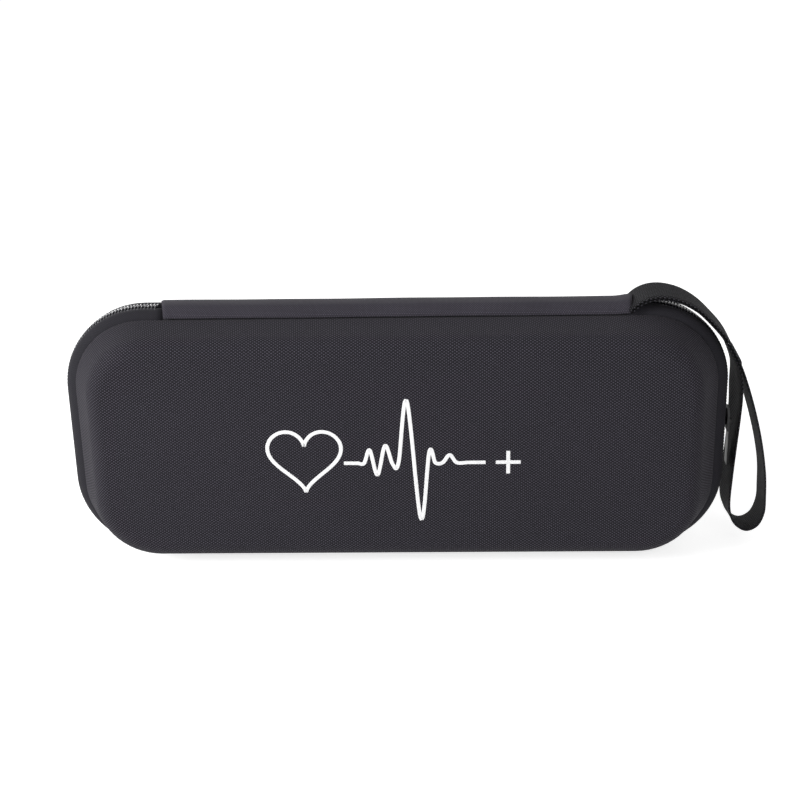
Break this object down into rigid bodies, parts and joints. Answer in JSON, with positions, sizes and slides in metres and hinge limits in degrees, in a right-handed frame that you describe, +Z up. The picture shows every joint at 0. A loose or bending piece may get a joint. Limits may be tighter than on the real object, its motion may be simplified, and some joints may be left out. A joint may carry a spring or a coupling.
{
  "type": "zippered hard case",
  "caption": "Moulded fabric-covered hard case for a stethoscope, with a fabric hinge, coil zip round three sides, mesh pocket, holding bands and a wrist strap.",
  "frame": {"origin": "middle of the zip coil's underside, on which the case stands, in the plane where the two halves meet", "axes": "+X along the case's length towards the wrist strap, -Y out of the front face, +Z up towards the fabric hinge"},
  "size_m": [0.3014, 0.055, 0.118],
  "materials": {
    "outer_fabric": "fine woven, matt",
    "hinge_fabric": "smooth fine weave",
    "zip_tape": "ribbed tape, matt",
    "zip_coil": "nylon coil",
    "foam": "moulded foam",
    "lining": "brushed knit",
    "binding": "ribbed binding tape",
    "webbing": "woven webbing",
    "mesh": "open knit mesh",
    "elastic": "woven elastic",
    "thread": "stitched",
    "slider_metal": "black enamel",
    "print": "screen print"
  },
  "bodies": {
    "rear_half": {"rear_shell_core": "foam", "rear_outer_fabric": "outer_fabric", "rear_lining": "lining", "rear_rim_binding": "binding", "rear_zip_tape": "zip_tape", "rear_zip_coil": "zip_coil", "hinge_strip": "hinge_fabric", "hinge_lining_strip": "hinge_fabric", "strap_anchor_tab": "webbing", "holding_band_left": "elastic", "holding_band_right": "elastic", "band_end_patches": "thread"},
    "front_half": {"front_shell_core": "foam", "front_outer_fabric": "outer_fabric", "front_lining": "lining", "front_rim_binding": "binding", "front_zip_tape": "zip_tape", "front_zip_coil": "zip_coil", "mesh_pocket_panel": "mesh", "pocket_piping": "binding", "pocket_edge_elastic": "elastic"},
    "wrist_strap": {"wrist_strap_neck": "webbing", "wrist_strap_loop": "webbing", "strap_bar_tack": "thread"},
    "zip_slider": {"zip_slider_body": "slider_metal"},
    "zip_pull": {"zip_pull_tab": "slider_metal"}
  },
  "joints": [
    {"name": "lid_hinge", "type": "hinge", "parent": "rear_half", "child": "front_half", "pos_m": [0, 0, 0.1143], "axis": [-1, 0, 0], "range_deg": [0, 180], "deforming": ["hinge_strip", "hinge_lining_strip", "wrist_strap_neck", "strap_bar_tack"]},
    {"name": "strap_swing", "type": "hinge", "parent": "rear_half", "child": "wrist_strap", "pos_m": [0.1013, 0, 0.1144], "axis": [0, -1, 0], "range_deg": [0, 50]},
    {"name": "zip_travel", "type": "slide", "parent": "rear_half", "child": "zip_slider", "axis": [0, 0, 1], "range_m": [-0.017, 0.012]},
    {"name": "pull_swivel", "type": "hinge", "parent": "zip_slider", "child": "zip_pull", "pos_m": [0.1437, 0, 0.058], "axis": [1, 0, 0], "range_deg": [-45, 45]}
  ]
}
